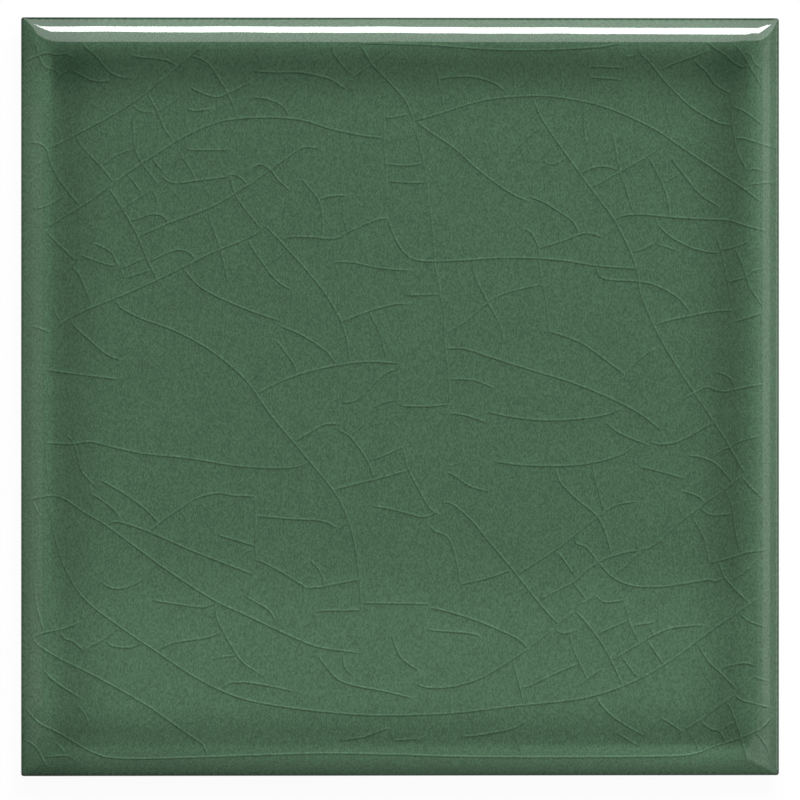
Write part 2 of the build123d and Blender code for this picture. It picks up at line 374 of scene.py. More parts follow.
    [(23.3, -56.7), (25.5, -56.2), (30.2, -53.9), (34.7, -52)],
    [(37.9, -38.6), (39, -39.7), (40.4, -40.1), (43.7, -39.7)],
    [(34, -41.7), (36.8, -44.8), (40.1, -49.6), (43.2, -56)],
    [(30.2, -45.3), (31.1, -46), (32.4, -46.1), (33.8, -45.5)],
    [(38.2, -58.3), (39, -60), (41.5, -62.5), (45.1, -64.8), (47.5, -66.2)],
    [(66.1, -42.1), (67.5, -43.5), (69.4, -44.4), (71.2, -44.9)],
    [(38.4, -46.4), (40.1, -45.5), (44.4, -43.6)],
    [(45.1, -44.8), (47.3, -44.3), (48.7, -44.2), (49.8, -43.7)],
    [(41.2, -51.5), (45.8, -48.6), (49.5, -46.5), (53.1, -45.1), (58.7, -44.5)],
    [(48.2, -47.7), (49.5, -49.6), (51.3, -52.2)],
    [(43.1, -50.7), (44.6, -52.7), (46.2, -54.8)],
    [(58.1, -48.4), (59.1, -50.2), (60.3, -52), (61.9, -53.4), (65.6, -57.1)],
    [(62.7, -52.9), (64.7, -52.4), (67.2, -52), (69.2, -52.5)],
    [(68.8, -54.5), (70.1, -55.1), (72.3, -55.6)],
    [(65, -58.1), (66.5, -59.2), (68.6, -59.8), (72.1, -60.7)],
    [(55.3, -65), (58.5, -63), (61, -61.2), (65.2, -58.1)],
    [(50.7, -62.7), (52.4, -63.6), (55.1, -65.5)],
    [(58.3, -63), (59.6, -64.3), (61, -65), (62.3, -65.4), (63.4, -67.4)],
    [(62.5, -65.2), (63.9, -64.1), (65.2, -63.5)],
    [(63.8, -59.6), (64.8, -61.8), (66.3, -66.1), (67.7, -71.2)],
    [(41.7, -65.2), (43.3, -66.3), (46.4, -68.1)],
]
PLAIN_LINES = [
    [(-63.3, 51), (-61.9, 48.5), (-58.3, 44.7), (-55.9, 41.6)],
    [(-58.3, 44.9), (-55.7, 46.8), (-53.6, 47.8), (-51.8, 48.3)],
    [(-49.4, 59.2), (-47.4, 55.5), (-46.2, 52.5), (-44.8, 50.3)],
    [(-52.3, 57), (-51.4, 56.1), (-50.1, 55.5), (-48, 55.4)],
    [(-47.4, 55.5), (-45.3, 56.8), (-43.3, 58.3)],
    [(-63.7, 66), (-64.7, 63.7), (-66.2, 62.6), (-69.1, 59.2)],
    [(-71.1, 70), (-70.9, 68), (-70, 65.2), (-69.1, 64.1), (-67.5, 63.6), (-66.2, 62.6)],
    [(-43.8, 45.4), (-42.9, 46.6), (-41.8, 45.6), (-40.4, 43.3), (-40, 42.2)],
    [(-48.3, 46.3), (-47.4, 45.1), (-46, 43.5)],
    [(-52.2, 54), (-52, 51), (-51.8, 48.3), (-50.2, 45.2), (-47.4, 41.6)],
    [(-53.2, 43.3), (-51.8, 41.5), (-50.3, 39.5)],
    [(-55, 35.9), (-52.9, 37.5), (-50.1, 39.3), (-48.5, 40.4)],
    [(-71.7, 36.8), (-70, 36.8), (-67.3, 38), (-65.2, 39.7)],
    [(-33.4, 43.3), (-32.3, 39.5), (-30.3, 36.5), (-27.2, 32.6)],
    [(-19.3, 42.4), (-16.2, 38.6), (-15.4, 36), (-15.1, 31)],
    [(-13.3, 68.6), (-13.1, 67), (-12.1, 65.5), (-9.7, 62.8)],
    [(-9.3, 62.3), (-5.5, 65), (-1.6, 67.8)],
    [(21.3, 46.9), (23.3, 49.1), (25.5, 51.2), (27.7, 53)],
    [(28.2, 46.9), (29.5, 48.5), (30.5, 49.3)],
    [(28.2, 45.8), (29.8, 45.3), (31.3, 46), (32.7, 46.8)],
    [(37.5, 40.9), (42.2, 43.6), (48, 46.8), (50, 48.3)],
    [(48.2, 46.8), (49.3, 45.1), (51.1, 41.3), (52, 38.7), (52.5, 35.2)],
    [(41.7, 50.1), (41.9, 48.2), (42.8, 44), (43.7, 41.3), (45.3, 36.2)],
    [(51.3, 41.8), (53.1, 42.7), (54.7, 43.8)],
    [(43.7, 66.3), (45.5, 66.5), (46.8, 67)],
    [(66.8, 67), (67.7, 67.1), (68.6, 66.2), (69.2, 65), (70.6, 64.1)],
    [(67.2, 64.4), (68.6, 65.2)],
    [(64.6, 59), (64.6, 56.5), (64.7, 53), (65.1, 50.5), (65.9, 47.4), (67.5, 44.3)],
    [(67.7, 41.3), (69.7, 41.6), (71.5, 41.8), (73.2, 41.6)],
    [(4.1, 35.8), (5.8, 36.4)],
    [(-66, 23.7), (-64.1, 25.4), (-62.4, 27.8)],
    [(-64.1, 25.4), (-63, 24.3), (-61.9, 22.2), (-60.4, 18.4), (-60.1, 17.3)],
    [(-37.6, 36.5), (-36.5, 32.5), (-35.4, 29.6), (-34.6, 26.5), (-33.8, 22.7)],
    [(-67.7, 18.4), (-67.3, 16.4), (-66.3, 14.8)],
    [(-71.7, 13.7), (-70, 13.2), (-68.2, 12.4)],
    [(-26, 25.6), (-24.2, 27.1), (-22.2, 28.7)],
    [(-24.7, 11.2), (-23.4, 9.9), (-20.9, 6.3), (-20.2, 4.3)],
    [(-29.6, 2.8), (-27.8, 4.6), (-26.5, 7.2), (-25.1, 9.2)],
    [(-6.1, 16.8), (-5.4, 14.9), (-4.3, 13), (-2.8, 7.5)],
    [(-9.5, -7.2), (-7.5, -5.6), (-5.4, -2.5), (-3.9, -1.4), (-0.7, -0.6)],
    [(13.9, 26.7), (14.6, 23.4), (17, 18.4), (19.5, 13.7), (20.1, 10.5)],
    [(8.7, 12.3), (12.5, 14.6), (16.8, 18.2), (20.4, 20.2), (27.7, 22)],
    [(28.2, 7), (29.9, 7.6)],
    [(50, 29.8), (51.3, 29.4), (54.2, 28.4)],
    [(43.9, 4.3), (45.5, 6.3), (47.3, 7.9), (50, 9.6)],
    [(-65, -7.4), (-63.5, -9.5), (-62.3, -14.1), (-61.2, -15.7), (-59.4, -17.5)],
    [(-42.9, -21.9), (-42.2, -23.3)],
    [(-71.7, -20.2), (-70.9, -22.2), (-70.2, -23.3)],
    [(0.4, -9.8), (1.4, -13.9), (3.8, -18.6), (5.8, -21.9), (7.6, -22.9)],
    [(-17.2, -31.2), (-14, -27.7), (-12.2, -25.8), (-10.3, -24.5)],
    [(-30.9, -30.9), (-29.8, -30), (-28.2, -29.8)],
    [(-17.7, -31.8), (-16.2, -33.4), (-15.3, -34.9), (-14.9, -36.7)],
    [(5.5, -25), (6.7, -26.2), (8.3, -26.8), (9.6, -28), (10.6, -31), (11.7, -36.5)],
    [(37.4, -13), (38.1, -16.8), (39.7, -22.2)],
    [(46.6, -30), (49.5, -28.9), (53.8, -25.1)],
    [(54.7, -18.6), (54.3, -21.1), (54.9, -23.3)],
    [(63.4, -18.3), (64.7, -21.5), (65.2, -25.5), (66.2, -30)],
    [(56.9, -23.5), (59.2, -27.7), (60.2, -32.4)],
    [(65.2, -35.4), (67.2, -34.2), (69.5, -31.8)],
    [(41.7, -34.9), (43.7, -33.1), (46.6, -30.2)],
    [(46, -28), (46.4, -29.8)],
    [(-36.2, -40.6), (-35.7, -43.5), (-33.2, -48.2), (-31.9, -50.4), (-30.3, -52.2), (-27.8, -53.8)],
    [(-63.5, -60.1), (-62.1, -61), (-61.2, -62.5), (-60.6, -64.7)],
    [(-48.9, -67.9), (-47.4, -65.7), (-45.3, -63.4)],
    [(-44.9, -61.4), (-43.1, -59.2), (-40.9, -56.7)],
    [(-70, -67), (-68.6, -65.7)],
    [(-67.5, -67.2), (-66.2, -68.3), (-65.3, -69.7)],
    [(-71.3, -36), (-70.9, -40.8), (-69.5, -45.8)],
    [(-37.2, -51.2), (-35, -50.7), (-32.1, -50.4)],
    [(-11.2, -50.4), (-11, -52.4), (-10.1, -53.8), (-9.2, -54.3)],
    [(21.7, -51.4), (22.6, -54.2), (23.3, -57), (24, -60)],
    [(34.5, -40.6), (36.4, -39.7), (37.9, -38.6)],
    [(30.9, -44.2), (32.4, -43), (34, -41.7)],
    [(32.9, -46.1), (33.8, -49.5), (34.9, -52), (36.3, -54.9)],
    [(35, -56.3), (36.8, -54.7), (39.2, -53.1)],
    [(22.2, -65.9), (23, -67.9), (23.5, -69.4)],
    [(43.7, -40.1), (44.2, -42.1), (44.9, -44.6), (46.6, -48)],
    [(48.4, -43.9), (48.9, -45.5), (49.5, -46.6)],
    [(65, -58.1), (66.5, -56.7), (68.8, -54.5)],
    [(47.5, -66.2), (48.7, -64.7), (50.7, -62.7)],
    [(56, -65), (57.1, -66.8), (58.5, -69.2)],
    [(54.2, -66.8), (55.1, -65.6)],
    [(69.4, -65.6), (70.4, -66.8), (71.5, -68.3)],
]
FAINT_LINES = [
    [(-41.8, 56.1), (-41.8, 53), (-41, 51.2)],
    [(-41.9, 50.9), (-41.9, 48.6)],
    [(-48.5, 40.4), (-47.8, 39.1), (-47.4, 37.7)],
    [(-26.5, 33.4), (-24.2, 35.3), (-22.2, 37.6), (-20.3, 40.5), (-19.3, 42.4)],
    [(-6.8, 53.9), (-5.7, 55.7), (-4.8, 56.7)],
    [(-3.3, 57.5), (-3.2, 50.2), (-2.9, 45.3), (-2.7, 38)],
    [(6.9, 63.7), (7.3, 62.1), (8.5, 56.1)],
    [(51, 44.5), (52.7, 46.5)],
    [(36.8, 67.5), (36.8, 62)],
    [(43.6, 67), (43.3, 61.5)],
    [(48.6, 65.3), (50, 67)],
    [(35.9, 57.4), (35.8, 53), (36.1, 50), (37.3, 45)],
    [(2.7, 52.5), (4.1, 47.1), (5.2, 41.6), (5.4, 38), (6.1, 33.6), (6.6, 26.4)],
    [(21.9, 63.7), (22.4, 58.6)],
    [(31.3, 64), (31.6, 60)],
    [(-11.3, 38), (-11.1, 34.7), (-10.4, 32.3)],
    [(-13, 30.8), (-13.1, 26.3)],
    [(-21.1, 21.3), (-19.8, 23.1), (-18.7, 24.9)],
    [(-0.5, 6.5), (-0.6, -1)],
    [(6.5, 26.4), (7.4, 21.6), (8.4, 16), (8.7, 10), (9.3, 4), (9.5, -1.5)],
    [(26.8, 28.9), (27.2, 24.5), (28.2, 19.1), (28.9, 13)],
    [(39.3, 31.1), (40.4, 32.1), (41.9, 33.4)],
    [(61.6, 31.4), (62.5, 28.5), (63.9, 22), (64.3, 19.5), (65, 17)],
    [(49.6, 30.1), (50.9, 32)],
    [(38.6, 23.3), (37.7, 21.6), (37, 19.8)],
    [(43.9, 14), (45.8, 15.9), (47.7, 17.3)],
    [(41.2, 1.4), (43.9, 4.3)],
    [(-61.4, -38.8), (-57.6, -35.3), (-55.7, -33.8), (-53.4, -30.9)],
    [(-48.7, -34.3), (-48.2, -36.3)],
    [(-69.1, -9), (-69, -13), (-68.2, -19)],
    [(-70.9, -17), (-68.8, -16.6)],
    [(-28.7, -7.9), (-27.1, -6), (-25.3, -4)],
    [(-15.9, -14.1), (-14.4, -12.5), (-13, -10.5)],
    [(-9.3, -27.3), (-7.9, -26.6), (-6.8, -25.8)],
    [(-20.6, -34.9), (-19.1, -32.9), (-17.7, -31.8)],
    [(-28.4, -19.4), (-28.3, -23.2), (-28.3, -31.8)],
    [(-12.4, -2.7), (-11.5, -1.2)],
    [(9.2, -13.5), (11.2, -13), (12.8, -11.4)],
    [(67.2, -14.5), (68.6, -11.7), (69.4, -9.9)],
    [(50.6, -6.4), (52.2, -4.5)],
    [(-62.1, -40.4), (-62, -42.6), (-61.8, -43.5)],
    [(-71.7, -58.1), (-70.8, -60)],
    [(20, -44.7), (21.5, -42.6), (23.5, -40.7)],
    [(9.8, -56.7), (9.8, -61.7)],
    [(11.4, -61.7), (11.4, -63.4)],
    [(40.2, -67.2), (41.7, -65.2)],
    [(46.4, -68.1), (47.5, -66.5)],
    [(42, -53), (43.7, -52.4)],
]


def along(points, step):
    """A smooth line through the points, as places about a step apart."""
    knots = np.array(points, float)
    knots = np.vstack([2 * knots[0] - knots[1], knots, 2 * knots[-1] - knots[-2]])
    places = []
    for a, b, c, d in zip(knots, knots[1:], knots[2:], knots[3:]):
        count = max(1, math.ceil(np.linalg.norm(c - b) / step))
        t = (np.arange(count) / count)[:, None]
        bend = (2 * a - 5 * b + 4 * c - d) * t**2 + (3 * b - 3 * c + d - a) * t**3
        places.append(b + ((c - a) * t + bend) / 2)
    return np.vstack(places + [knots[-2:-1]])


def inset_at(x, y):
    """How far inside the outline a place on the face lies, along its level line."""
    a, b = abs(x), abs(y)
    inset = HALF - max(a, b)
    gain = 1 + CORNER_SOFTNESS
    if min(a, b) <= HALF - CORNER_RADIUS - gain * inset:
        return inset
    u, v = a - HALF + CORNER_RADIUS, b - HALF + CORNER_RADIUS
    square = 2 * gain**2 - CORNER_SOFTNESS**2
    linear = 2 * gain * (u + v) - 2 * CORNER_RADIUS * CORNER_SOFTNESS
    rest = u**2 + v**2 - CORNER_RADIUS**2
    return (-linear + math.sqrt(max(0, linear**2 - 4 * square * rest))) / (2 * square)


def cushion_fall(inset):
    """How far the cushion lies below the field at an inset."""
    reach = min(max(CUSHION_WIDTH - inset, 0), CUSHION_WIDTH)
    return CUSHION_RADIUS - math.sqrt(CUSHION_RADIUS**2 - reach**2)


# Crests of the craze lines, each with its strength
craze_routes = [(line, 1.0) for line in BOLD_LINES]
craze_routes += [(line, PLAIN_STRENGTH) for line in PLAIN_LINES]
craze_routes += [(line, FAINT_STRENGTH) for line in FAINT_LINES]
crest_places = []
crest_strengths = []
for line, strength in craze_routes:
    crest = along(line, CREST_STEP)
    lengths = np.append(0, np.cumsum(np.linalg.norm(np.diff(crest, axis=0), axis=1)))
    to_end = np.minimum(lengths, lengths[-1] - lengths)
    fade = np.clip(CRAZE_END_SHARE + (1 - CRAZE_END_SHARE) * to_end / CRAZE_END, 0, 1)
    crest_places.extend(crest)
    crest_strengths.extend(strength * fade)
crests = KDTree(len(crest_places))
for number, place in enumerate(crest_places):
    crests.insert((place[0], place[1], 0), number)
crests.balance()


def craze_at(x, y):
    """How far a craze line stands up at a place, from 0 to 1."""
    height = 0.0
    for _, number, distance in crests.find_range((x, y, 0), CRAZE_HALF_WIDTH):
        bump = 0.5 + 0.5 * math.cos(math.pi * distance / CRAZE_HALF_WIDTH)
        height = max(height, bump * crest_strengths[number])
    return height


def ramp(value, start, end):
    """0 before the start, 1 after the end and smooth between."""
    part = min(1, max(0, (value - start) / (end - start)))
    return part * part * (3 - 2 * part)


def pool(side, distance):
    """How deep the glaze has pooled at a distance from a side."""
    depth_and_shade, inset, outer, inner = POOLS[side]
    return depth_and_shade * math.exp(-(((distance - inset) / (outer if distance < inset else inner)) ** 2))


def depth_and_shade_at(x, y):
    """How deep the glaze lies at a place, 0 where thin and 1 where it hides the clay, with painted light
    and shade on the cushion and at the edge.
    """
    from_sides = {"top": HALF - y, "left": HALF + x, "bottom": HALF + y, "right": HALF - x}
    nearest = min(from_sides.values())
    rim = ramp(-nearest, -THIN_START, -THIN_END)
    edge = ramp(-inset_at(x, y), -EDGE_WIDTH, -LIP_WIDTH)
    shares = {side: 1 / (gap + SHARE_GAP) ** SHARE_POWER for side, gap in from_sides.items()}
    depth_and_shade = BASE_DEPTH * max(rim, ramp(y, PALER_BELOW, FULL_ABOVE)) - CREST_THIN * craze_at(x, y)
    # painted light on the cushion, most on the dim sides, and painted shade towards the outline
    for side, share in shares.items():
        thin = RIM_THIN_AND_LIGHT[side] + RIM_LIGHT_LEAN[side] * (x if side in ("top", "bottom") else y) / HALF
        depth_and_shade += (EDGE_SHADE[side] * edge - thin * rim) * share / sum(shares.values())
    pools = [pool(side, gap) * (1 if gap == nearest else 1 - rim) for side, gap in from_sides.items()]
    depth_and_shade += math.hypot(*pools)
    # darker towards each corner, and painted shade on the cushion near it
    off_corner = math.hypot(HALF - abs(x) - CORNER_DARK_INSET, HALF - abs(y) - CORNER_DARK_INSET)
    corner = CORNER_DARKENING[1 if x > 0 else -1, 1 if y > 0 else -1]
    second = sorted(from_sides.values())[1]
    corner_rim_shade = CORNER_RIM_SHADE * ramp(-second, -CORNER_RIM_END, -CORNER_RIM_START)
    depth_and_shade += corner * ((1 - rim) * math.exp(-((off_corner / CORNER_DARK_REACH) ** 2)) + rim * corner_rim_shade)
    off_cloud = math.hypot(x - CLOUD_PLACE[0], y - CLOUD_PLACE[1])
    depth_and_shade += CLOUD_DEPTH * math.exp(-((off_cloud / CLOUD_REACH) ** 2))
    # painted shade at the very edge
    return depth_and_shade + LIP_SHADE * ramp(-inset_at(x, y), -LIP_WIDTH, 0)


def face_height(x, y):
    """Height of the glazed face."""
    field = THICKNESS - CRAZE_HEIGHT
    return field - cushion_fall(inset_at(x, y)) + CRAZE_HEIGHT * craze_at(x, y)


def level_height(x, y):
    """Height of the face without its craze lines."""
    return -cushion_fall(inset_at(x, y))


def normal_of(height, x, y):
    """The way a surface looks at a place, from a function for its height."""
    rise_x = (height(x + SLOPE_GAP, y) - height(x - SLOPE_GAP, y)) / (2 * SLOPE_GAP)
    rise_y = (height(x, y + SLOPE_GAP) - height(x, y - SLOPE_GAP)) / (2 * SLOPE_GAP)
    return Vector((-rise_x, -rise_y, 1)).normalized()


def rounded_loop(half, radius, height):
    """A square with rounded corners, as points that run counter-clockwise seen from above."""
    points = []
    core = half - radius
    straight = 2 * core
    for quarter in range(4):
        turn = quarter * math.pi / 2
        c, s = math.cos(turn), math.sin(turn)
        local = []
        for step in range(CORNER_STEPS + 1):
            angle = step / CORNER_STEPS * math.pi / 2
            local.append((core + radius * math.cos(angle), core + radius * math.sin(angle)))
        for step in range(1, SIDE_STEPS):
            local.append((core - straight * step / SIDE_STEPS, half))
        points.extend((c * x - s * y, s * x + c * y, height) for x, y in local)
    return points


vertices = []
normals = []
level_normals = []
craze_values = []
depth_and_shade_values = []
faces = []
face_slots = []


def add_loop(points, depth_and_shade=0.0):
    """Adds points to the mesh, under glaze deepened and painted with shade by an amount, and returns their
    numbers.

    A zero normal leaves it to the faces around the point.
    """
    start = len(vertices)
    vertices.extend(points)
    normals.extend([(0, 0, 0)] * len(points))
    level_normals.extend([None] * len(points))
    craze_values.extend([0.0] * len(points))
    depth_and_shade_values.extend([depth_and_shade] * len(points))
    return list(range(start, len(vertices)))


def add_face(corners, slot):
    """Adds one face to the mesh."""
    faces.append(corners)
    face_slots.append(slot)


def add_band(lower, upper, slot):
    """Joins two loops with a band of faces that look outwards."""
    for here in range(len(lower)):
        there = (here + 1) % len(lower)
        add_face((lower[here], lower[there], upper[there], upper[here]), slot)


# Glazed face: the level lines of the cushion, a grid on the field and strips along the craze lines
arris_inset = ARRIS_RADIUS * (1 - math.sin(EDGE_TILT))
rim = rounded_loop(HALF - arris_inset, CORNER_RADIUS + CORNER_SOFTNESS * arris_inset, 0)
plan = [(x, y) for x, y, _ in rim]
links = [(here, (here + 1) % len(rim)) for here in range(len(rim))]


def clear_of_craze(x, y):
    """True if a place is far enough from every craze line to have a vertex of its own."""
    return crests.find((x, y, 0))[2] > CRAZE_HALF_WIDTH + CRAZE_MARGIN


for row in range(1, CUSHION_ROWS + 1):
    inset = arris_inset + (CUSHION_WIDTH - arris_inset) * (row / CUSHION_ROWS) ** CUSHION_CROWDING
    level = rounded_loop(HALF - inset, CORNER_RADIUS + CORNER_SOFTNESS * inset, 0)
    plan.extend((x, y) for x, y, _ in level if clear_of_craze(x, y))
field_half = HALF - CUSHION_WIDTH - FIELD_MARGIN
field_count = math.ceil(2 * field_half / FIELD_STEP)
field_marks = [-field_half + 2 * field_half * mark / field_count for mark in range(field_count + 1)]
plan.extend((x, y) for x in field_marks for y in field_marks if clear_of_craze(x, y))
for line, _ in craze_routes:
    middle = along(line, CRAZE_STEP)
    heading = np.gradient(middle, axis=0)
    heading /= np.linalg.norm(heading, axis=1)[:, None]
    across = np.stack([-heading[:, 1], heading[:, 0]], axis=1)
    for offset in CRAZE_ROWS:
        last = None
        for x, y in middle + across * offset * CRAZE_HALF_WIDTH:
            if inset_at(x, y) < arris_inset + RIM_MARGIN:
                last = None
                continue
            plan.append((x, y))
            if last is not None:
                links.append((last, len(plan) - 1))
            last = len(plan) - 1

spots, _, triangles, spot_sources, _, _ = delaunay_2d_cdt(
    [Vector(p) for p in plan], links, [], 0, MERGE_DISTANCE)
face_start = len(vertices)
for x, y in spots:
    vertices.append((x, y, face_height(x, y)))
    normals.append(normal_of(face_height, x, y))
    level_normals.append(normal_of(level_height, x, y))
    craze_values.append(craze_at(x, y))
    depth_and_shade_values.append(depth_and_shade_at(x, y))
for triangle in triangles:
    add_face(tuple(face_start + corner for corner in triangle), GLAZE_SLOT)
rim_numbers = {}
for spot, sources in enumerate(spot_sources):
    for source in sources:
        if source < len(rim):
            rim_numbers[source] = face_start + spot
upper = [rim_numbers[number] for number in range(len(rim))]

# Arris and glazed edge, down to a wavering line
arris_height = EDGE_HEIGHT - CRAZE_HEIGHT
arris_drop = cushion_fall(0) - cushion_fall(arris_inset)
arris_centre = arris_height + arris_drop - ARRIS_RADIUS * math.cos(EDGE_TILT)
for row in range(1, ARRIS_ROWS + 1):
    tilt = EDGE_TILT + (math.pi / 2 - EDGE_TILT) * row / ARRIS_ROWS
    inset = ARRIS_RADIUS * (1 - math.sin(tilt))
    height = arris_centre + ARRIS_RADIUS * math.cos(tilt)
    level = rounded_loop(HALF - inset, CORNER_RADIUS + CORNER_SOFTNESS * inset, height)
    # the arris carries the painted shade of the very edge
    lower = add_loop(level, LIP_SHADE)
    add_band(lower, upper, GLAZE_SLOT)
    upper = lower
glaze_points = []
for number, (x, y, _) in enumerate(rounded_loop(HALF, CORNER_RADIUS, 0)):
    turn = 2 * math.pi * number / len(rim)
    waver = sum(part * math.sin(waves * turn + phase) for part, waves, phase in GLAZE_WAVES)
    glaze_points.append((x, y, GLAZE_LINE + GLAZE_WAVER * waver))
lower = add_loop(glaze_points, BASE_DEPTH)
add_band(lower, upper, GLAZE_SLOT)
upper = lower

# Bare edge and back
for half, height in ((HALF, LEAN_HEIGHT), (BACK_SIDE / 2, 0)):
    lower = add_loop(rounded_loop(half, CORNER_RADIUS, height))
    add_band(lower, upper, BODY_SLOT)
    upper = lower


def pocket_loop(shrink):
    """The outline of a key pocket about its own middle, drawn in by a length."""
    half = KEY_POCKET / 2 - shrink
    radius = KEY_CORNER_RADIUS - shrink
    points = []
    for quarter in range(4):
        for step in range(CORNER_STEPS + 1):
            angle = (quarter + step / CORNER_STEPS) * math.pi / 2
            middle = (quarter + 0.5) * math.pi / 2
            x = math.copysign(half - radius, math.cos(middle)) + radius * math.cos(angle)
            y = math.copysign(half - radius, math.sin(middle)) + radius * math.sin(angle)
            points.append((x, y))
    return points


pocket_marks = [(mark - (KEY_COUNT - 1) / 2) * KEY_PITCH for mark in range(KEY_COUNT)]
pocket_middles = [(x, y) for x in pocket_marks for y in pocket_marks]
mouth = pocket_loop(0)
floor_outline = pocket_loop(KEY_DEPTH * math.tan(math.radians(KEY_DRAFT)))
back_plan = [vertices[number][:2] for number in upper]
back_links = [(here, (here + 1) % len(upper)) for here in range(len(upper))]
for middle_x, middle_y in pocket_middles:
    start = len(back_plan)
    back_plan.extend((middle_x + x, middle_y + y) for x, y in mouth)
    back_links.extend((start + here, start + (here + 1) % len(mouth)) for here in range(len(mouth)))
back_spots, _, back_triangles, back_sources, _, _ = delaunay_2d_cdt(
    [Vector(p) for p in back_plan], back_links, [], 0, MERGE_DISTANCE)
back_numbers = {}
for spot, sources in enumerate(back_sources):
    for source in sources:
        back_numbers[source] = spot
new_numbers = {}
for source in range(len(upper)):
    new_numbers[back_numbers[source]] = upper[source]
for spot, (x, y) in enumerate(back_spots):
    if spot not in new_numbers:
        new_numbers[spot] = add_loop([(x, y, 0)])[0]


def in_pocket(corners):
    """True if all corners of a triangle of the back are on the mouth of one pocket."""
    sources = [source for corner in corners for source in back_sources[corner]]
    pockets = {(source - len(upper)) // len(mouth) for source in sources}
    return len(pockets) == 1 and min(pockets) >= 0


for corners in back_triangles:
    if not in_pocket(corners):
        add_face(tuple(new_numbers[corner] for corner in reversed(corners)), BODY_SLOT)
for number, (middle_x, middle_y) in enumerate(pocket_middles):
    first = len(upper) + number * len(mouth)
    lip = [new_numbers[back_numbers[first + here]] for here in range(len(mouth))]
    bottom = add_loop([(middle_x + x, middle_y + y, KEY_DEPTH) for x, y in floor_outline])
    for here in range(len(lip)):
        there = (here + 1) % len(lip)
        add_face((lip[there], lip[here], bottom[here], bottom[there]), BODY_SLOT)
    add_face(tuple(reversed(bottom)), BODY_SLOT)

# The mesh, in metres
mesh = bpy.data.meshes.new("glazed_tile")
mesh.from_pydata([Vector(v) * MM for v in vertices], [], faces)
mesh.polygons.foreach_set("material_index", face_slots)
mesh.polygons.foreach_set("use_smooth", [True] * len(faces))
# the second attribute sets how deep the glaze colour is, and carries painted light and shade too
for name, values in (("craze", craze_values), ("depth_and_shade", depth_and_shade_values)):
    layer = mesh.attributes.new(name, "FLOAT", "POINT")
    layer.data.foreach_set("value", values)
mesh.update()
for number, normal in enumerate(level_normals):
    if normal is None:
        level_normals[number] = mesh.vertices[number].normal
layer = mesh.attributes.new("level_normal", "FLOAT_VECTOR", "POINT")
layer.data.foreach_set("vector", np.array(level_normals, float).ravel())
mesh.set_sharp_from_angle(angle=math.radians(SHARP_ANGLE))
mesh.normals_split_custom_set([normals[corner] for face in faces for corner in face])
tile = bpy.data.objects.new("glazed_tile", mesh)
bpy.context.scene.collection.objects.link(tile)


def new_material(name):
    """A material with an empty node tree, and its output node."""
    material = bpy.data.materials.new(name)
    material.use_nodes = True
    material.node_tree.nodes.clear()
    output = material.node_tree.nodes.new("ShaderNodeOutputMaterial")
    return material, output


def add_node(material, kind, inputs=None, **settings):
    """A node with its settings and input values or links."""
    node = material.node_tree.nodes.new(kind)
    for name, value in settings.items():
        setattr(node, name, value)
    for name, value in (inputs or {}).items():
        socket = node.inputs[name]
        if isinstance(value, bpy.types.NodeSocket):
            material.node_tree.links.new(value, socket)
        else:
            socket.default_value = value
    return node


# Glaze: a glassy coat over the coloured layer, which is darker where it lies deep and where shade is
# painted in, and paler where light is painted on the cushion
glaze, glaze_output = new_material("glaze")
# how deep the colour is, with painted light and shade in it
depth_and_shade = add_node(glaze, "ShaderNodeAttribute", attribute_name="depth_and_shade")
craze = add_node(glaze, "ShaderNodeAttribute", attribute_name="craze")
level_normal = add_node(glaze, "ShaderNodeAttribute", attribute_name="level_normal")
glaze_place = add_node(glaze, "ShaderNodeTexCoord")
streaked = add_node(glaze, "ShaderNodeMapping", {
    "Vector": glaze_place.outputs["Object"], "Scale": GRAIN_STRETCH})
grain = add_node(glaze, "ShaderNodeTexNoise", {
    "Vector": streaked.outputs["Vector"], "Scale": 4000.0, "Detail": 1.0, "Roughness": 0.5})
mottle = add_node(glaze, "ShaderNodeTexNoise", {
    "Vector": glaze_place.outputs["Object"], "Scale": 120.0, "Detail": 3.0, "Roughness": 0.5})
grain_level = add_node(glaze, "ShaderNodeMapRange", {
    "Value": grain.outputs["Fac"], "From Min": 0.3, "From Max": 0.7, "To Min": 0.74, "To Max": 1.26})
mottle_level = add_node(glaze, "ShaderNodeMapRange", {
    "Value": mottle.outputs["Fac"], "From Min": 0.3, "From Max": 0.7, "To Min": 0.97, "To Max": 1.03})
shade = add_node(glaze, "ShaderNodeMath", {0: grain_level.outputs[0], 1: mottle_level.outputs[0]},
                 operation="MULTIPLY")
pooled = add_node(glaze, "ShaderNodeMix", {
    0: depth_and_shade.outputs["Fac"], 6: THIN_COLOUR, 7: DEEP_COLOUR}, data_type="RGBA", clamp_factor=False)
tone = add_node(glaze, "ShaderNodeVectorMath", {0: pooled.outputs[2], "Scale": shade.outputs[0]},
                operation="SCALE")
sheen = add_node(glaze, "ShaderNodeMapRange", {
    "Value": craze.outputs["Fac"], "From Min": 0.0, "From Max": 1.0, "To Min": 0.15, "To Max": 0.4})
flow = add_node(glaze, "ShaderNodeTexNoise", {
    "Vector": glaze_place.outputs["Object"], "Scale": 65.0, "Detail": 1.0, "Roughness": 0.4})
ripples = add_node(glaze, "ShaderNodeBump", {
    "Height": flow.outputs["Fac"], "Normal": level_normal.outputs["Vector"],
    "Strength": 1.0, "Distance": 0.00015})
surface = add_node(glaze, "ShaderNodeBsdfPrincipled", {
    "Base Color": tone.outputs[0], "Roughness": sheen.outputs[0], "Specular IOR Level": 0.0,
    "Coat Weight": 1.0, "Coat Roughness": COAT_ROUGHNESS, "Coat IOR": COAT_IOR,
    "Coat Normal": ripples.outputs["Normal"]})
glaze.node_tree.links.new(surface.outputs["BSDF"], glaze_output.inputs["Surface"])

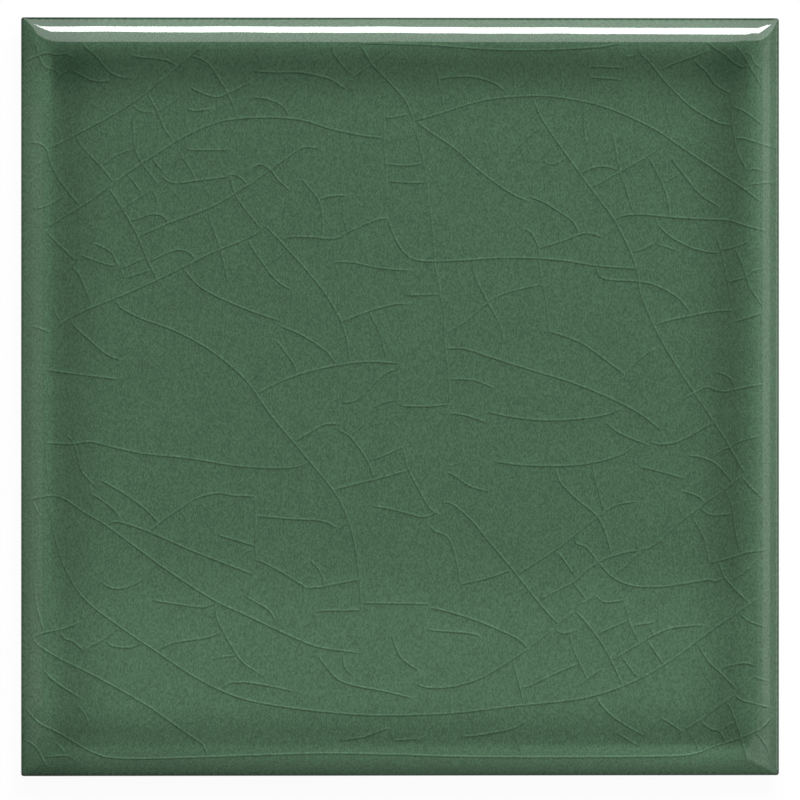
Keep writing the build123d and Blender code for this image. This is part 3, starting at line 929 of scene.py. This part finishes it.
# Fired clay body: buff, with fine grog and a dry, open surface
body, body_output = new_material("fired_body")
clay_place = add_node(body, "ShaderNodeTexCoord")
clay_cloud = add_node(body, "ShaderNodeTexNoise", {
    "Vector": clay_place.outputs["Object"], "Scale": 60.0, "Detail": 4.0, "Roughness": 0.6})
clay_tone = add_node(body, "ShaderNodeMix", {
    0: clay_cloud.outputs["Fac"], 6: CLAY_DARK, 7: CLAY_PALE}, data_type="RGBA")
grog = add_node(body, "ShaderNodeTexNoise", {
    "Vector": clay_place.outputs["Object"], "Scale": 1500.0, "Detail": 2.0, "Roughness": 0.6})
grog_level = add_node(body, "ShaderNodeMapRange", {
    "Value": grog.outputs["Fac"], "From Min": 0.3, "From Max": 0.7, "To Min": 0.85, "To Max": 1.1})
clay_colour = add_node(body, "ShaderNodeVectorMath", {
    0: clay_tone.outputs[2], "Scale": grog_level.outputs[0]}, operation="SCALE")
clay_sheen = add_node(body, "ShaderNodeMapRange", {
    "Value": clay_cloud.outputs["Fac"], "From Min": 0.3, "From Max": 0.7, "To Min": 0.75, "To Max": 0.92})
clay_grain = add_node(body, "ShaderNodeBump", {
    "Height": grog.outputs["Fac"], "Strength": 0.6, "Distance": 0.0002})
clay = add_node(body, "ShaderNodeBsdfPrincipled", {
    "Base Color": clay_colour.outputs[0], "Roughness": clay_sheen.outputs[0],
    "Normal": clay_grain.outputs["Normal"]})
body.node_tree.links.new(clay.outputs["BSDF"], body_output.inputs["Surface"])

mesh.materials.append(glaze)
mesh.materials.append(body)
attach(tile, "root")
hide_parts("tile")

# Floor: white to the camera and in the glaze, apart from the tile's shadow
floor_mesh = bpy.data.meshes.new("floor")
reach = FLOOR_SIZE / 2
floor_corners = [(-reach, -reach), (reach, -reach), (reach, reach), (-reach, reach)]
floor_mesh.from_pydata([(x, y, FLOOR_HEIGHT) for x, y in floor_corners], [], [(0, 1, 2, 3)])
floor = bpy.data.objects.new("floor", floor_mesh)
bpy.context.scene.collection.objects.link(floor)
paper, paper_output = new_material("floor_paper")
rays = add_node(paper, "ShaderNodeLightPath")
seen = add_node(paper, "ShaderNodeMath", {
    0: rays.outputs["Is Camera Ray"], 1: rays.outputs["Is Glossy Ray"]}, operation="MAXIMUM")
seen_through = add_node(paper, "ShaderNodeMath", {
    0: seen.outputs[0], 1: rays.outputs["Is Transmission Ray"]}, operation="MAXIMUM")
share = add_node(paper, "ShaderNodeMath", {
    0: seen_through.outputs[0], 1: FLOOR_GLOW}, operation="MULTIPLY")
matt = add_node(paper, "ShaderNodeBsdfDiffuse", {"Color": FLOOR_COLOUR})
glow = add_node(paper, "ShaderNodeEmission", {"Color": WHITE, "Strength": 1.0})
blend = add_node(paper, "ShaderNodeMixShader", {
    0: share.outputs[0], 1: matt.outputs[0], 2: glow.outputs[0]})
paper.node_tree.links.new(blend.outputs[0], paper_output.inputs["Surface"])
floor_mesh.materials.append(paper)


def add_lamp(name, width, length, radiance, pose):
    """A flat rectangular lamp."""
    lamp = bpy.data.lights.new(name, "AREA")
    lamp.shape = "RECTANGLE"
    lamp.size = width
    lamp.size_y = length
    lamp.energy = radiance * math.pi * width * length
    holder = bpy.data.objects.new(name, lamp)
    holder.matrix_world = pose
    bpy.context.scene.collection.objects.link(holder)


def add_card(name, lean, zeniths, sides, turn, radiance):
    """A lamp square to a zenith and a heading, from one zenith and one side angle to another."""
    lower, upper = (CARD_DISTANCE * math.tan(math.radians(zenith - lean)) for zenith in zeniths)
    left, right = (CARD_DISTANCE * math.tan(math.radians(side)) for side in sides)
    facing = Matrix.Rotation(math.radians(-turn), 4, "Z") @ Matrix.Rotation(math.radians(-lean), 4, "X")
    middle = Vector(((left + right) / 2, (lower + upper) / 2, CARD_DISTANCE))
    add_lamp(name, right - left, upper - lower, radiance, facing @ Matrix.Translation(middle))


# Lamps: a strip that makes the highlight, and cards around the tile
strip_width, strip_length = (span * STRIP_HEIGHT for span in STRIP_SPANS)
strip_x, strip_y = (share * STRIP_HEIGHT for share in STRIP_PLACE)
strip_middle = Vector((strip_x, strip_y + HALF * MM, STRIP_HEIGHT))
strip_pose = Matrix.Translation(strip_middle) @ Matrix.Rotation(math.radians(STRIP_TURN), 4, "Z")
add_lamp("strip", strip_width, strip_length, STRIP_RADIANCE, strip_pose)
strip_cards = [("strip_card", STRIP_CARD_LOW, STRIP_CARD_SIDES)]
for number in range(END_CARDS):
    side = STRIP_CARD_SIDES[0] - number * END_CARD_WIDTH
    low = STRIP_CARD_LOW + (number + 0.5) * END_CARD_RISE
    strip_cards.append((f"strip_card_end_{number}", low, (side - END_CARD_WIDTH, side)))
for name, low, sides in strip_cards:
    add_card(name, STRIP_CARD_LEAN, (low, STRIP_CARD_HIGH), sides, STRIP_CARD_TURN, STRIP_CARD_RADIANCE)
for card in CARDS:
    add_card(*card)

# World: dim, so that little but the lamps is mirrored in the glaze
world = bpy.data.worlds.new("studio")
world.use_nodes = True
bpy.context.scene.world = world
world.node_tree.nodes["Background"].inputs["Color"].default_value = WHITE
world.node_tree.nodes["Background"].inputs["Strength"].default_value = WORLD_STRENGTH

# Camera: overhead, and a little to the left of the tile
camera_data = bpy.data.cameras.new("camera")
camera_data.sensor_width = SENSOR
camera_data.lens = LENS
camera_data.clip_end = VIEW_END
camera = bpy.data.objects.new("camera", camera_data)
away = FRAME_WIDTH * LENS / SENSOR
camera_x = AIM_X - away * math.sin(CAMERA_TURN)
camera_z = EDGE_HEIGHT * MM + away * math.cos(CAMERA_TURN)
camera.location = (camera_x, AIM_Y, camera_z)
camera.rotation_euler = (0, -CAMERA_TURN, 0)
bpy.context.scene.collection.objects.link(camera)
bpy.context.scene.camera = camera
bpy.context.scene.view_settings.view_transform = "Standard"
